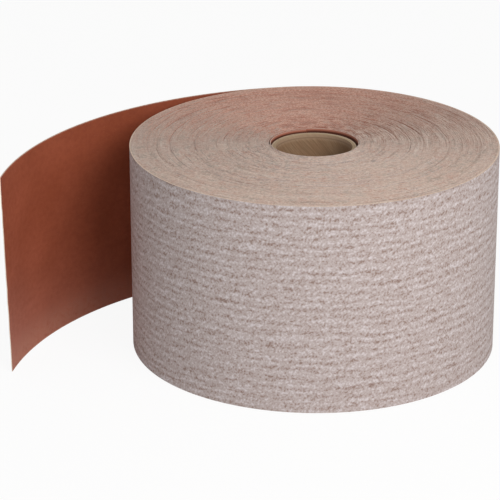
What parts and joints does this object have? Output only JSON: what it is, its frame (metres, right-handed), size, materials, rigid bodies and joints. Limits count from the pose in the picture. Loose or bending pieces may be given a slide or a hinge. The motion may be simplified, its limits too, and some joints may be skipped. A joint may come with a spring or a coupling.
{
  "type": "abrasive paper roll",
  "caption": "Wound roll of paper-backed abrasive on a paperboard core with a 1 in bore, standing on end, with its springy outer end lifted off the roll.",
  "frame": {"origin": "on the roll's axis at the lower end of the core's bore, level with the lower face of the roll", "axes": "+Z along the roll's axis, up out of the core's bore; the loose end leaves the roll at the back left, towards -X"},
  "size_m": [0.1608, 0.1221, 0.0703],
  "materials": {
    "core_board": "uncoated grey-brown paperboard with spiral ply seams",
    "start_tape": "cream double-sided paper tape, matte",
    "web_edge": "slit paper edges, matte, in fine concentric layers",
    "web_backing": "rust-coloured saturated paper backing, faint sheen",
    "web_coat": "fine abrasive grain under a pale stearate coat, matte and streaked"
  },
  "bodies": {
    "roll": {"core_inner_ply": "core_board", "core_middle_ply": "core_board", "core_outer_ply": "core_board", "start_tape": "start_tape", "first_turn_backing": "web_backing", "first_turn_coat": "web_coat", "wound_turns": "web_edge", "outer_turn_backing": "web_backing", "outer_turn_coat": "web_coat"},
    "tail_1": {"tail_backing_1": "web_backing", "tail_coat_1": "web_coat"},
    "tail_2": {"tail_backing_2": "web_backing", "tail_coat_2": "web_coat"},
    "tail_3": {"tail_backing_3": "web_backing", "tail_coat_3": "web_coat"},
    "tail_4": {"tail_backing_4": "web_backing", "tail_coat_4": "web_coat"}
  },
  "joints": [
    {"name": "tail_bend_1", "type": "hinge", "parent": "roll", "child": "tail_1", "pos_m": [-0.02498, 0.05642, 0.03517], "axis": [0, 0, -1], "range_deg": [-3, 20], "stiffness_Nm_per_rad": 0.01},
    {"name": "tail_bend_2", "type": "hinge", "parent": "tail_1", "child": "tail_2", "pos_m": [-0.05319, 0.04237, 0.03517], "axis": [0, 0, -1], "range_deg": [-15, 20], "stiffness_Nm_per_rad": 0.01},
    {"name": "tail_bend_3", "type": "hinge", "parent": "tail_2", "child": "tail_3", "pos_m": [-0.0762, 0.02084, 0.03517], "axis": [0, 0, -1], "range_deg": [-15, 20], "stiffness_Nm_per_rad": 0.01},
    {"name": "tail_bend_4", "type": "hinge", "parent": "tail_3", "child": "tail_4", "pos_m": [-0.09209, -0.00637, 0.03517], "axis": [0, 0, -1], "range_deg": [-15, 20], "stiffness_Nm_per_rad": 0.01}
  ]
}
